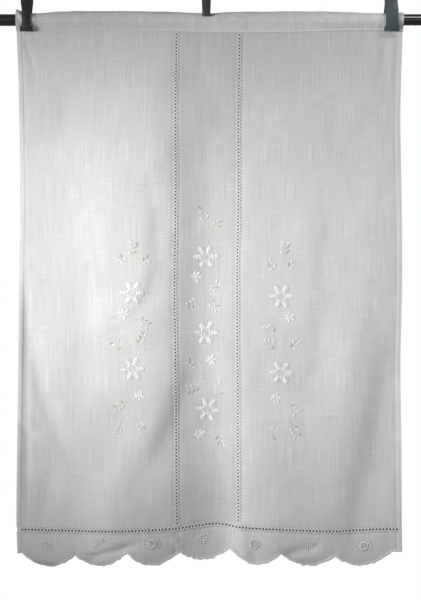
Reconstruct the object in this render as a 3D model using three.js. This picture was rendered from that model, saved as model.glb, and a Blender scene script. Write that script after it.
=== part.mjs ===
// A small linen window curtain hanging from a rod: a folded heading makes the rod pocket, three
// panels and a scalloped border hang below it, narrow openwork strips join them, and three
// spring clips nip the heading on the rod.
// Millimetres, +Z up, the front faces -Y. The origin is on the rod's axis at mid-length, and
// "down" is measured from that axis.
import * as THREE from "three";

const rod = { radius: 9, length: 700, sides: 36 };

const cloth = { thick: 1, gap: 0.3, rowHeight: 25 };

const sideHem = { width: 7, slope: 1.5, extra: 0.8 };

// The pocket is a strip folded over the rod. Its two edges close on the panels' top edge.
const pocket = { clearance: 0.5, overlap: 3, leastRise: 1.5, columns: 40, arcSteps: 7, legSteps: 2 };

const openwork = { width: 10.4 };

const clip = { armThick: 3, pivotHeight: 28, barrelRadius: 4.8, footHeight: 6.5, footSlope: 1.5 };

const finish = {
  rod: { color: 0x121213, roughness: 0.3, metalness: 0.2 },
  linen: { color: 0xdcdddf, roughness: 0.95, metalness: 0 },
  centreLinen: { color: 0xd2d3d5, roughness: 0.95, metalness: 0 },
  whiteWork: { color: 0xe6e7e8, roughness: 0.9, metalness: 0 },
  clip: { color: 0x3d4847, roughness: 0.5, metalness: 0.1 },
};

// The cloth's two side edges, which wander a little as it hangs.
const sideEdges = [
  { down: 0, left: -301, right: 300 },
  { down: 90, left: -297.6, right: 297.2 },
  { down: 160, left: -296, right: 296 },
  { down: 280, left: -294.5, right: 297.7 },
  { down: 390, left: -296.3, right: 298.8 },
  { down: 530, left: -297.6, right: 296.5 },
  { down: 650, left: -299.2, right: 297.8 },
  { down: 780, left: -300.7, right: 298.2 },
  { down: 830, left: -299, right: 299 },
];

// The middle lines of the two upright openwork strips.
const uprightStrips = [
  { down: 16, left: -52, right: 46.2 },
  { down: 150, left: -53.3, right: 44.4 },
  { down: 250, left: -52.8, right: 44.6 },
  { down: 415, left: -54.8, right: 42.4 },
  { down: 570, left: -52.9, right: 43.2 },
  { down: 680, left: -52.4, right: 43.6 },
  { down: 790, left: -51.4, right: 44.3 },
];

// The middle line of the level openwork strip above the border.
const levelStrip = [
  { x: -300, down: 791.4 },
  { x: -185, down: 793.8 },
  { x: -90, down: 792.2 },
  { x: -45, down: 789.8 },
  { x: 10, down: 784.2 },
  { x: 48, down: 788.9 },
  { x: 134, down: 792.7 },
  { x: 194, down: 794.8 },
  { x: 269, down: 791.3 },
  { x: 300, down: 791.9 },
];

// The seam under the rod pocket, and how far the fold stands above the top of the rod.
const headingLine = [
  { x: -300, seam: 17.6, rise: 4.6 },
  { x: -285, seam: 17.6, rise: 1.5 },
  { x: -265, seam: 17.7, rise: 1.5 },
  { x: -235, seam: 17.8, rise: 4.2 },
  { x: -195, seam: 17.8, rise: 5.1 },
  { x: -115, seam: 17.8, rise: 4.8 },
  { x: -50, seam: 17.9, rise: 3.4 },
  { x: -15, seam: 18.6, rise: 1.5 },
  { x: 5, seam: 19, rise: 1.5 },
  { x: 31, seam: 19.4, rise: 3.4 },
  { x: 99, seam: 19, rise: 4.3 },
  { x: 170, seam: 17.4, rise: 4.4 },
  { x: 215, seam: 16, rise: 3.3 },
  { x: 245, seam: 15.8, rise: 1.5 },
  { x: 285, seam: 16.4, rise: 1.5 },
  { x: 300, seam: 16.6, rise: 2.9 },
];

// Each scallop starts at its left cusp and sags by its drop. The last row is only a cusp.
const scallops = [
  { cuspX: -294.5, cuspDown: 826.6, drop: 20.1 },
  { cuspX: -209.8, cuspDown: 831.9, drop: 18.4 },
  { cuspX: -129, cuspDown: 827.7, drop: 20.3 },
  { cuspX: -47.4, cuspDown: 826.3, drop: 15.3 },
  { cuspX: 31.1, cuspDown: 822.1, drop: 20.8 },
  { cuspX: 110.3, cuspDown: 827.9, drop: 18.2 },
  { cuspX: 193.5, cuspDown: 833.6, drop: 18 },
  { cuspX: 285.2, cuspDown: 824.6, drop: 0 },
];
const scallopColumns = 10;

// The border's two lower corners hang this much lower than the cusps beside them.
const cornerLip = 1.5;

// The large folds of the hanging cloth. A ridge comes forward and a trough, with a negative
// forward, goes back. Left and right are a fold's widths to both sides of its line.
const folds = [
  {
    name: "left belly", left: 112, right: 64, forward: 10,
    line: [{ x: -90, down: -40 }, { x: -94, down: 330 }, { x: -102, down: 440 }, { x: -128, down: 690 }],
  },
  {
    name: "flower trough", left: 13, right: 24, forward: -2.2,
    line: [
      { x: -84, down: 240 }, { x: -80, down: 373 }, { x: -86, down: 412 },
      { x: -99, down: 443 }, { x: -124, down: 472 }, { x: -156, down: 500 },
    ],
  },
  {
    name: "slanting ridge", left: 38, right: 20, forward: 3,
    line: [
      { x: -40, down: 450 }, { x: -62, down: 540 }, { x: -82, down: 605 },
      { x: -104, down: 662 }, { x: -128, down: 710 }, { x: -165, down: 765 },
    ],
  },
  {
    name: "slanting trough", left: 15, right: 30, forward: -1.7,
    line: [
      { x: -2, down: 480 }, { x: -34, down: 575 }, { x: -52, down: 620 },
      { x: -72, down: 664 }, { x: -94, down: 702 }, { x: -134, down: 760 },
    ],
  },
  {
    name: "centre trough", left: 46, right: 36, forward: -4.6,
    line: [{ x: -8, down: 110 }, { x: -6, down: 480 }, { x: 0, down: 700 }, { x: 8, down: 960 }],
  },
  {
    name: "low centre trough", left: 72, right: 36, forward: -9.5,
    line: [{ x: 2, down: 490 }, { x: 14, down: 690 }, { x: 20, down: 980 }],
  },
  {
    name: "low left ridge", left: 46, right: 60, forward: 7,
    line: [{ x: -150, down: 680 }, { x: -148, down: 770 }, { x: -148, down: 960 }],
  },
  {
    name: "left edge trough", left: 11, right: 17, forward: -1.8,
    line: [
      { x: -288, down: 390 }, { x: -270, down: 544 }, { x: -256, down: 598 },
      { x: -230, down: 660 }, { x: -180, down: 740 },
    ],
  },
  {
    name: "belly hollow", left: 22, right: 24, forward: -1.8,
    line: [{ x: -205, down: 360 }, { x: -198, down: 470 }, { x: -205, down: 610 }],
  },
  {
    name: "low left ripple", left: 12, right: 14, forward: -1,
    line: [{ x: -236, down: 660 }, { x: -250, down: 720 }, { x: -266, down: 800 }],
  },
  {
    name: "right trough", left: 20, right: 34, forward: -1.3,
    line: [{ x: 188, down: 220 }, { x: 182, down: 380 }, { x: 174, down: 500 }, { x: 166, down: 620 }],
  },
  {
    name: "right ridge", left: 34, right: 34, forward: 1.7,
    line: [{ x: 226, down: 360 }, { x: 222, down: 480 }, { x: 212, down: 600 }, { x: 190, down: 760 }],
  },
  {
    name: "right edge trough", left: 19, right: 36, forward: -3.8,
    line: [
      { x: 284, down: 450 }, { x: 268, down: 520 }, { x: 258, down: 590 },
      { x: 250, down: 652 }, { x: 236, down: 730 }, { x: 206, down: 930 },
    ],
  },
];

// The border's own straight folds.
const borderFolds = [
  { name: "crease", x1: -226, down1: 832, x2: -118, down2: 812, width: 7, forward: -4.5 },
  { name: "ridge", x1: 40, down1: 770, x2: 56, down2: 850, width: 15, forward: 4 },
  { name: "dent", x1: 106, down1: 834, x2: 178, down2: 816, width: 8, forward: -3 },
];

// The pocket holds the cloth straight, so folds grow over this stretch below it.
const foldStart = { down: 20, full: 110 };

// Where the border's lower edge curls, and how far up from the edge each curl reaches.
const curls = [
  { x: -254, width: 22, height: 12, forward: -6 },
  { x: -176, width: 30, height: 22, forward: -7 },
  { x: -92, width: 26, height: 24, forward: -3 },
  { x: 66, width: 22, height: 22, forward: -4 },
  { x: 150, width: 30, height: 26, forward: -9 },
  { x: 240, width: 28, height: 24, forward: -3 },
];

// Each clip's place along the rod, how low its feet reach, and its widths.
const clips = [
  { name: "left", x: -284.5, lowEnd: -18.5, foot: 19.7, shaft: 12.8, handle: 17.6 },
  { name: "centre", x: -5.7, lowEnd: 3.3, foot: 13, shaft: 12.6, handle: 14 },
  { name: "right", x: 281.5, lowEnd: -18.5, foot: 23.4, shaft: 19.4, handle: 18 },
];

// Half the space between a clip's two arms at each height, pinched at the pivot.
const clipSpread = [
  { z: -18.5, reach: 5 },
  { z: -10, reach: 9.4 },
  { z: 0, reach: 10.9 },
  { z: 14, reach: 10.9 },
  { z: clip.pivotHeight, reach: 5.5 },
  { z: 60, reach: 13 },
];

// The row of a table that ends the stretch holding a place, the first stretch or the last if
// the place is past them.
function stretchEnd(table, key, at) {
  const next = table.findIndex((row) => row[key] > at);
  return next < 0 ? table.length - 1 : Math.max(next, 1);
}

// A smooth curve through one column of a table, level past the first and last rows.
function curveThrough(table, key, column, at) {
  const end = stretchEnd(table, key, at);
  const before = table[Math.max(end - 2, 0)];
  const from = table[end - 1];
  const to = table[end];
  const after = table[Math.min(end + 1, table.length - 1)];
  const span = to[key] - from[key];
  const t = THREE.MathUtils.clamp((at - from[key]) / span, 0, 1);
  const slopeFrom = (span * (to[column] - before[column])) / (to[key] - before[key]);
  const slopeTo = (span * (after[column] - from[column])) / (after[key] - from[key]);
  return (
    from[column] * (2 * t ** 3 - 3 * t ** 2 + 1) +
    slopeFrom * (t ** 3 - 2 * t ** 2 + t) +
    to[column] * (3 * t ** 2 - 2 * t ** 3) +
    slopeTo * (t ** 3 - t ** 2)
  );
}

// Straight lines between the rows of a table.
function linesThrough(table, key, column, at) {
  const end = stretchEnd(table, key, at);
  const from = table[end - 1];
  const to = table[end];
  const t = (at - from[key]) / (to[key] - from[key]);
  return THREE.MathUtils.lerp(from[column], to[column], THREE.MathUtils.clamp(t, 0, 1));
}

const leftEdge = (down) => curveThrough(sideEdges, "down", "left", down);
const rightEdge = (down) => curveThrough(sideEdges, "down", "right", down);
const leftLine = (down) => curveThrough(uprightStrips, "down", "left", down);
const rightLine = (down) => curveThrough(uprightStrips, "down", "right", down);
const levelLine = (x) => curveThrough(levelStrip, "x", "down", x);
const seamLine = (x) => curveThrough(headingLine, "x", "seam", x);
const crestRise = (x) => Math.max(curveThrough(headingLine, "x", "rise", x), pocket.leastRise);

const panelTop = (x) => seamLine(x) - pocket.overlap;
const stripTop = (x) => levelLine(x) - openwork.width / 2;
const stripBottom = (x) => levelLine(x) + openwork.width / 2;
const panelBottom = (x) => stripTop(x) - cloth.gap;
const borderTop = (x) => stripBottom(x) + cloth.gap;

// The scalloped lower edge: each scallop is a shallow arc between two cusps.
function scallopEdge(x) {
  const last = scallops.length - 1;
  if (x <= scallops[0].cuspX) return scallops[0].cuspDown + cornerLip;
  if (x >= scallops[last].cuspX) return scallops[last].cuspDown + cornerLip;
  const end = stretchEnd(scallops, "cuspX", x);
  const from = scallops[end - 1];
  const to = scallops[end];
  const t = (x - from.cuspX) / (to.cuspX - from.cuspX);
  return THREE.MathUtils.lerp(from.cuspDown, to.cuspDown, t) + from.drop * 4 * t * (1 - t);
}

// A soft rounded ridge, t of the way along it, that dies out at both ends.
function softRidge(forward, t, across) {
  const present = THREE.MathUtils.smoothstep(3 * Math.min(t, 1 - t), 0, 1);
  return forward * present * Math.exp(-(across ** 2));
}

// How far a fold moves a point of the cloth.
function foldForward({ line, left, right, forward }, x, down) {
  const middleAt = (height) => curveThrough(line, "down", "x", height);
  const lean = (middleAt(down + 2) - middleAt(down - 2)) / 4;
  const aside = (x - middleAt(down)) / Math.hypot(1, lean);
  const first = line[0].down;
  const t = (down - first) / (line[line.length - 1].down - first);
  return softRidge(forward, t, aside / (aside < 0 ? left : right));
}

function borderFoldForward({ x1, down1, x2, down2, width, forward }, x, down) {
  const run = new THREE.Vector2(x2 - x1, down2 - down1);
  const point = new THREE.Vector2(x - x1, down - down1);
  return softRidge(forward, point.dot(run) / run.lengthSq(), point.cross(run) / run.length() / width);
}

function curlForward({ x: middle, width, height, forward }, x, down) {
  const nearEdge = THREE.MathUtils.clamp(1 - (scallopEdge(x) - down) / height, 0, 1);
  return forward * nearEdge ** 2 * Math.exp(-(((x - middle) / width) ** 2));
}

// The cloth's middle surface: how far it stands in front of the rod's axis.
function clothForward(x, down) {
  const free = THREE.MathUtils.smoothstep(down, foldStart.down, foldStart.full);
  const total = (rows, forwardOf) => rows.reduce((sum, row) => sum + forwardOf(row, x, down), 0);
  return free * (total(folds, foldForward) + total(borderFolds, borderFoldForward) + total(curls, curlForward));
}

// The side hems are folded to the back, so they thicken the cloth only there, and not in the
// seam, where they are pressed flat.
function hemExtra(x, down) {
  if (down < seamLine(x)) return 0;
  const inside = Math.min(x - leftEdge(down), rightEdge(down) - x);
  const past = (inside - (sideHem.width - sideHem.slope)) / sideHem.slope;
  return sideHem.extra * (1 - THREE.MathUtils.clamp(past, 0, 1));
}

// A closed slab of columns and rows whose points go where place(across, along, isBack) says.
function slab(columns, rows, place) {
  const geometry = new THREE.BoxGeometry(1, 1, 1, columns, 1, rows);
  const points = geometry.attributes.position;
  for (let i = 0; i < points.count; i++) {
    const column = Math.round((points.getX(i) + 0.5) * columns);
    const row = Math.round((0.5 - points.getZ(i)) * rows);
    points.setXYZ(i, ...place(column, row, points.getY(i) > 0));
  }
  geometry.computeVertexNormals();
  return geometry;
}

// Shares of a piece's width at which its columns stand, closer together in a side hem.
function evenShares(count) {
  return Array.from({ length: count + 1 }, (_, i) => i / count);
}

function hemmedShares(count, width, hemmedSide) {
  const hemShares = [0, sideHem.width - sideHem.slope, sideHem.width].map((at) => at / width);
  const rest = evenShares(count).slice(1).map((t) => THREE.MathUtils.lerp(hemShares[2], 1, t));
  const shares = [...hemShares, ...rest];
  return hemmedSide === "left" ? shares : shares.map((t) => 1 - t).reverse();
}

function borderShares() {
  const low = leftEdge(levelLine(0));
  const high = rightEdge(levelLine(0));
  const places = [low];
  scallops.slice(0, -1).forEach((from, i) => {
    const to = scallops[i + 1];
    for (let step = 0; step < scallopColumns; step++) {
      places.push(THREE.MathUtils.lerp(from.cuspX, to.cuspX, step / scallopColumns));
    }
  });
  const lastCusp = scallops[scallops.length - 1].cuspX;
  places.push(lastCusp, high - sideHem.width, high - sideHem.width + sideHem.slope, high);
  return places.map((x) => (x - low) / (high - low));
}

// A flat-cut piece of the curtain between two side lines and two level lines.
function hangingCloth({ shares, rows, low, high, top, bottom }) {
  return slab(shares.length - 1, rows, (column, row, isBack) => {
    let down = THREE.MathUtils.lerp(top(0), bottom(0), row / rows);
    let x = THREE.MathUtils.lerp(low(down), high(down), shares[column]);
    down = THREE.MathUtils.lerp(top(x), bottom(x), row / rows);
    x = THREE.MathUtils.lerp(low(down), high(down), shares[column]);
    const aside = isBack ? -cloth.thick / 2 - hemExtra(x, down) : cloth.thick / 2;
    return [x, -clothForward(x, down) - aside, -down];
  });
}

// The middle line of the pocket's section, from the front edge over the rod to the back edge,
// as points of (distance in front of the axis, height) for a seam and a rise.
function pocketSection(seam, rise) {
  const around = rod.radius + pocket.clearance + cloth.thick / 2;
  const crest = rod.radius + rise - cloth.thick / 2;
  const legGap = cloth.thick + cloth.gap;
  const legTop = new THREE.Vector2(legGap, pocket.overlap - seam);
  const tangent = legTop.angle() - 2 * Math.PI + Math.acos(around / legTop.length());
  const front = [new THREE.Vector2(legGap, -seam)];
  for (let step = 0; step < pocket.legSteps; step++) {
    const leave = new THREE.Vector2(Math.cos(tangent), Math.sin(tangent)).multiplyScalar(around);
    front.push(legTop.clone().lerp(leave, step / pocket.legSteps));
  }
  for (let step = 0; step < pocket.arcSteps; step++) {
    const angle = THREE.MathUtils.lerp(tangent, Math.PI / 2, step / pocket.arcSteps);
    const height = angle > 0 ? crest : around;
    front.push(new THREE.Vector2(around * Math.cos(angle), height * Math.sin(angle)));
  }
  const back = front.map((point) => new THREE.Vector2(-point.x, point.y)).reverse();
  return [...front, new THREE.Vector2(0, crest), ...back];
}

// The section moved to one side of its middle line by half the cloth's thickness.
function offsetSection(section, aside) {
  return section.map((point, i) => {
    const before = section[Math.max(i - 1, 0)];
    const after = section[Math.min(i + 1, section.length - 1)];
    const along = after.clone().sub(before).normalize();
    return new THREE.Vector2(point.x + along.y * aside, point.y - along.x * aside);
  });
}

function headingGeometry() {
  const rows = 2 * (1 + pocket.legSteps + pocket.arcSteps);
  const sides = Array.from({ length: pocket.columns + 1 }, (_, column) => {
    const x = THREE.MathUtils.lerp(leftEdge(0), rightEdge(0), column / pocket.columns);
    const section = pocketSection(seamLine(x), crestRise(x));
    const outer = offsetSection(section, cloth.thick / 2);
    const inner = offsetSection(section, -cloth.thick / 2);
    return { x, outer, inner };
  });
  return slab(pocket.columns, rows, (column, row, isBack) => {
    const side = sides[column];
    const point = (isBack ? side.inner : side.outer)[rows - row];
    return [side.x, -point.x, point.y];
  });
}

function rodGeometry() {
  const geometry = new THREE.CylinderGeometry(rod.radius, rod.radius, rod.length, rod.sides);
  return geometry.rotateZ(Math.PI / 2);
}

// One arm of a clip: a bent strip with a wide foot on the cloth, a shaft past the rod and a
// handle above the pivot.
function armGeometry({ lowEnd, foot, shaft, handle }, isFront) {
  const footTop = lowEnd + clip.footHeight;
  const bends = clipSpread.map((row) => row.z).filter((z) => z > footTop + clip.footSlope);
  const rows = [
    { z: lowEnd, width: foot },
    { z: footTop, width: foot },
    { z: footTop + clip.footSlope, width: shaft },
    ...bends.map((z) => ({ z, width: z < clip.pivotHeight ? shaft : handle })),
  ];
  return slab(1, rows.length - 1, (column, row, isBack) => {
    const { z, width } = rows[rows.length - 1 - row];
    const inner = linesThrough(clipSpread, "z", "reach", z);
    const outside = isBack !== isFront;
    const reach = outside ? inner + clip.armThick : inner;
    return [(column - 0.5) * width, isFront ? -reach : reach, z];
  });
}

function barrelGeometry({ shaft }) {
  const geometry = new THREE.CylinderGeometry(clip.barrelRadius, clip.barrelRadius, shaft, 20);
  return geometry.rotateZ(Math.PI / 2);
}

function piece(name, geometry, look) {
  const mesh = new THREE.Mesh(geometry, new THREE.MeshStandardMaterial(look));
  mesh.name = name;
  return mesh;
}

function springClip(row) {
  const group = new THREE.Group();
  const barrel = piece(`clip_${row.name}_spring`, barrelGeometry(row), finish.clip);
  barrel.position.z = clip.pivotHeight;
  group.add(piece(`clip_${row.name}_front_arm`, armGeometry(row, true), finish.clip));
  group.add(piece(`clip_${row.name}_back_arm`, armGeometry(row, false), finish.clip));
  group.add(barrel);
  group.position.x = row.x;
  return group;
}

const half = openwork.width / 2;
const panelRows = Math.round((panelBottom(0) - panelTop(0)) / cloth.rowHeight);
const drop = { rows: panelRows, top: panelTop, bottom: panelBottom };

const curtain = new THREE.Group();

curtain.add(
  piece("rod", rodGeometry(), finish.rod),
  piece("heading", headingGeometry(), finish.linen),
  piece(
    "panel_left",
    hangingCloth({
      ...drop,
      shares: hemmedShares(13, leftLine(400) - leftEdge(400), "left"),
      low: leftEdge,
      high: (down) => leftLine(down) - half - cloth.gap,
    }),
    finish.linen,
  ),
  piece(
    "panel_centre",
    hangingCloth({
      ...drop,
      shares: evenShares(6),
      low: (down) => leftLine(down) + half + cloth.gap,
      high: (down) => rightLine(down) - half - cloth.gap,
    }),
    finish.centreLinen,
  ),
  piece(
    "panel_right",
    hangingCloth({
      ...drop,
      shares: hemmedShares(13, rightEdge(400) - rightLine(400), "right"),
      low: (down) => rightLine(down) + half + cloth.gap,
      high: rightEdge,
    }),
    finish.linen,
  ),
);

for (const [name, line] of [["left", leftLine], ["right", rightLine]]) {
  const low = (down) => line(down) - half;
  const high = (down) => line(down) + half;
  const geometry = hangingCloth({ ...drop, shares: evenShares(1), low, high });
  curtain.add(piece(`openwork_${name}`, geometry, finish.whiteWork));
}

const wide = { low: leftEdge, high: rightEdge };
const levelWork = { ...wide, shares: evenShares(48), rows: 1, top: stripTop, bottom: stripBottom };
const scalloped = { ...wide, shares: borderShares(), rows: 5, top: borderTop, bottom: scallopEdge };

curtain.add(
  piece("openwork_level", hangingCloth(levelWork), finish.whiteWork),
  piece("border", hangingCloth(scalloped), finish.linen),
);

for (const row of clips) curtain.add(springClip(row));

export default curtain;
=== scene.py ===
import math
from functools import partial

import bmesh
import bpy
import numpy as np
from mathutils import Matrix, Vector


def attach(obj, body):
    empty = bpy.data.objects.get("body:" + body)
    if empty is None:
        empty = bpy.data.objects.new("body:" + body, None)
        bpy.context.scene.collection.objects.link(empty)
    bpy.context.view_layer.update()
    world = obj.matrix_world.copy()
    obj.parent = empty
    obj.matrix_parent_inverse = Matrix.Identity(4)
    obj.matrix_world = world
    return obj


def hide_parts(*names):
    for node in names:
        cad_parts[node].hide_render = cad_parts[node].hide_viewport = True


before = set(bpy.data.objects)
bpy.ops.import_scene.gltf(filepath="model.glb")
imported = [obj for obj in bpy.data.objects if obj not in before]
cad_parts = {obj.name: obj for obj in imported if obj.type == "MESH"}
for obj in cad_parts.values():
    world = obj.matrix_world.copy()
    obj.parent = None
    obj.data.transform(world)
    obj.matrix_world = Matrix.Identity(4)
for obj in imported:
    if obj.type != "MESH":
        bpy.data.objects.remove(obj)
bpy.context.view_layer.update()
print("frame loaded")


# a table's rows, each a dictionary by the names of its columns
def table(columns, *rows):
    return [dict(zip(columns.split(), row)) for row in rows]


# how the cloth hangs

# the two side edges, which wander a little
sideEdges = table(
    "down left right",
    (0, -301, 300), (90, -297.6, 297.2), (160, -296, 296), (280, -294.5, 297.7),
    (390, -296.3, 298.8), (530, -297.6, 296.5), (650, -299.2, 297.8), (780, -300.7, 298.2),
    (830, -299, 299),
)

# middle lines of the upright openwork strips
uprightStrips = table(
    "down left right",
    (16, -52, 46.2), (150, -53.3, 44.4), (250, -52.8, 44.6), (415, -54.8, 42.4),
    (570, -52.9, 43.2), (680, -52.4, 43.6), (790, -51.4, 44.3),
)

# middle line of the level openwork strip
levelStrip = table(
    "x down",
    (-300, 791.4), (-185, 793.8), (-90, 792.2), (-45, 789.8), (10, 784.2), (48, 788.9),
    (134, 792.7), (194, 794.8), (269, 791.3), (300, 791.9),
)

# the seam under the rod pocket, and how far the fold stands above the rod
headingLine = table(
    "x seam rise",
    (-300, 17.6, 7.2), (-290, 17.6, 4), (-279, 17.6, 1.5), (-265, 17.7, 1.5), (-235, 17.8, 4.2),
    (-195, 17.8, 5.1), (-115, 17.8, 4.8), (-50, 17.9, 3.4), (-15, 18.6, 1.5), (5, 19, 1.5),
    (31, 19.4, 3.4), (99, 19, 4.3), (170, 17.4, 4.4), (215, 16, 3.3), (245, 15.8, 1.5),
    (285, 16.4, 1.5), (300, 16.6, 2.9),
)

# each scallop starts at its left cusp and sags by its drop
scallops = table(
    "x down drop",
    (-294.5, 826.6, 20.1), (-209.8, 831.9, 18.4), (-129, 827.7, 20.3), (-47.4, 826.3, 15.3),
    (31.1, 822.1, 20.8), (110.3, 827.9, 18.2), (193.5, 833.6, 18), (285.2, 824.6, 0),
)

# large folds, each down a curve of (x, down) places and as wide as left and right say:
# a ridge comes forward, a trough goes back
folds = table(
    "at line left right forward",
    ("left belly", [(-90, -40), (-94, 330), (-102, 440), (-128, 690)], 112, 64, 10),
    ("flower trough", [(-84, 240), (-80, 373), (-86, 412), (-99, 443), (-124, 472), (-156, 500)],
     13, 24, -2.2),
    ("slanting ridge", [(-40, 450), (-62, 540), (-82, 605), (-104, 662), (-128, 710), (-165, 765)],
     38, 22, 2.5),
    ("slanting trough", [(-2, 480), (-34, 575), (-52, 620), (-72, 664), (-94, 702), (-134, 760)],
     15, 30, -1.3),
    ("centre trough", [(-8, 110), (-6, 480), (0, 700), (8, 960)], 46, 38, -4.4),
    ("low centre trough", [(2, 490), (14, 690), (20, 980)], 72, 40, -9.5),
    ("low centre flank", [(-84, 640), (-80, 740), (-74, 900)], 90, 42, 2.2),
    ("centre lift", [(14, 480), (18, 600), (24, 800)], 80, 34, 2.1),
    ("low right ridge", [(126, 730), (134, 790), (140, 900)], 100, 50, 2.4),
    ("right edge ease", [(306, 420), (296, 560), (290, 690), (290, 790)], 34, 40, -1.9),
    ("low left ridge", [(-150, 680), (-148, 770), (-148, 960)], 46, 60, 7),
    ("left edge trough", [(-288, 390), (-270, 544), (-256, 598), (-230, 660), (-180, 740)], 11, 17, -1.8),
    ("belly hollow", [(-205, 360), (-198, 470), (-205, 610)], 22, 24, -1.8),
    ("low left ripple", [(-236, 660), (-250, 720), (-266, 800)], 12, 14, -1),
    ("right trough", [(188, 220), (182, 380), (174, 500), (166, 620)], 20, 34, -1.3),
    ("right ridge", [(226, 360), (222, 480), (212, 600), (190, 760)], 34, 34, 1.7),
    ("right edge trough", [(292, 450), (280, 520), (270, 590), (260, 652), (240, 730), (206, 930)],
     25, 36, -3.8),
)

# smaller straight ones
creases = table(
    "at x1 down1 x2 down2 width forward",
    ("border crease", -208, 842, -100, 811, 6.5, -3.3),
    ("border ridge", 40, 770, 56, 850, 15, 4),
    ("border dent", 106, 834, 178, 816, 8, -3),
    ("press line", 135, 617, 225, 613, 2.5, 0.8),
    ("faint press line", 50, 624, 150, 619, 5, 0.7),
    ("flower pucker 1", -158, 466, -128, 462, 3, -0.9),
    ("flower pucker 2", -160, 484, -130, 484, 3, -0.9),
    ("flower pucker 3", -158, 497, -132, 500, 2.5, -0.8),
    ("left hem groove", -285, 340, -286, 840, 5.5, -1.3),
    ("left edge wrinkle", -305, 612, -262, 634, 4, 1.2),
    ("left edge hollow", -305, 628, -266, 652, 4, -1.1),
    ("left edge lift", -300, 330, -301, 860, 14, 1.8),
    ("left clip pleat", -292, 14, -268, 96, 4, -0.7),
    ("right clip pleat", 276, 14, 262, 110, 5, -0.7),
    ("right clip ridge", 286, 14, 280, 120, 4, 0.6),
    ("centre clip pleat", -12, 14, -16, 92, 5, -0.5),
    ("border streak 1", -206, 826, -158, 838, 2.5, -1),
    ("border streak 2", -214, 838, -150, 832, 2.5, 0.9),
    ("border streak 3", 60, 824, 78, 846, 3.5, -1.2),
    ("border highlight", -58, 800, -44, 826, 5, 1.4),
    ("border spot", 36, 800, 50, 826, 5, 1.3),
)

# where the scalloped edge curls, and how high up the cloth
curls = table(
    "x width height forward",
    (-258, 22, 10, -9), (-176, 30, 22, -8.5), (-92, 26, 24, -3), (66, 22, 22, -4),
    (150, 30, 26, -9), (240, 28, 24, -3),
)

drape = {
    # folds begin at foldStart and are full at foldFull
    "foldStart": 20, "foldFull": 110, "width": 600, "hem": 7, "strip": 10.4, "leastRise": 1.5,
    # how far the scalloped edge strays from its arcs, and how far the panels reach up into the seam
    "ragged": 1.4, "raggedCell": 5, "cornerLip": 1.5, "overlap": 3,
    # cells and heights of the soft and the fine unevenness, and the field that they cover
    "seed": 41, "softCell": 62, "softHeight": 1.1, "fineCell": 22, "fineHeight": 0.28,
    "fieldFrom": (-400, -100), "fieldSize": (800, 1100),
    "soft": 0.8,  # over how many millimetres a hem or a lap begins
}


def column(table, name):
    return np.array([row[name] for row in table], float)


def stretchEnd(keys, at):
    return np.clip(np.searchsorted(keys, at, side="right"), 1, len(keys) - 1)


def smooth(t):
    t = np.clip(t, 0, 1)
    return t * t * (3 - 2 * t)


# a smooth curve through one column of a table, level past its first and last rows
def curveThrough(table, key, name, at):
    keys, values = column(table, key), column(table, name)
    end = stretchEnd(keys, at)
    before, after = np.maximum(end - 2, 0), np.minimum(end + 1, len(keys) - 1)
    span = keys[end] - keys[end - 1]
    t = np.clip((at - keys[end - 1]) / span, 0, 1)
    slopeFrom = span * (values[end] - values[before]) / (keys[end] - keys[before])
    slopeTo = span * (values[after] - values[end - 1]) / (keys[after] - keys[end - 1])
    fromPart = values[end - 1] * (2 * t**3 - 3 * t**2 + 1) + slopeFrom * (t**3 - 2 * t**2 + t)
    return fromPart + values[end] * (3 * t**2 - 2 * t**3) + slopeTo * (t**3 - t**2)


leftEdge, rightEdge = (partial(curveThrough, sideEdges, "down", side) for side in ("left", "right"))
leftLine, rightLine = (partial(curveThrough, uprightStrips, "down", side) for side in ("left", "right"))
levelLine = partial(curveThrough, levelStrip, "x", "down")
seamLine = partial(curveThrough, headingLine, "x", "seam")


def crestRise(x):
    return np.maximum(curveThrough(headingLine, "x", "rise", x), drape["leastRise"])


def scallopArcs(x):
    cusps, downs, drops = column(scallops, "x"), column(scallops, "down"), column(scallops, "drop")
    end = stretchEnd(cusps, x)
    t = np.clip((x - cusps[end - 1]) / (cusps[end] - cusps[end - 1]), 0, 1)
    return downs[end - 1] + (downs[end] - downs[end - 1]) * t + drops[end - 1] * 4 * t * (1 - t)


def scallopEdge(x):
    x = np.asarray(x, float)
    atCorner = (x <= scallops[0]["x"]) | (x >= scallops[-1]["x"])
    strays = drape["ragged"] * unevenness(x, 0, drape["raggedCell"], drape["seed"] + 3)
    return scallopArcs(x) + np.where(atCorner, drape["cornerLip"], strays)


# a soft rounded ridge, t of the way along it, that dies out at both ends
def softRidge(forward, t, across):
    return forward * smooth(3 * np.minimum(t, 1 - t)) * np.exp(-(across**2))


def foldForward(fold, x, down):
    line = table("x down", *fold["line"])
    middle = curveThrough(line, "down", "x", down)
    lean = (curveThrough(line, "down", "x", down + 2) - curveThrough(line, "down", "x", down - 2)) / 4
    aside = (x - middle) / np.sqrt(1 + lean**2)
    t = (down - line[0]["down"]) / (line[-1]["down"] - line[0]["down"])
    return softRidge(fold["forward"], t, aside / np.where(aside < 0, fold["left"], fold["right"]))


def creaseForward(crease, x, down):
    runX, runDown = crease["x2"] - crease["x1"], crease["down2"] - crease["down1"]
    length = math.hypot(runX, runDown)
    fromX, fromDown = x - crease["x1"], down - crease["down1"]
    t = (fromX * runX + fromDown * runDown) / length**2
    return softRidge(crease["forward"], t, (fromX * runDown - fromDown * runX) / length / crease["width"])


def curlForward(curl, x, down):
    nearEdge = np.clip(1 - (scallopArcs(x) - down) / curl["height"], 0, 1)
    return curl["forward"] * nearEdge**2 * np.exp(-(((x - curl["x"]) / curl["width"]) ** 2))


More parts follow.
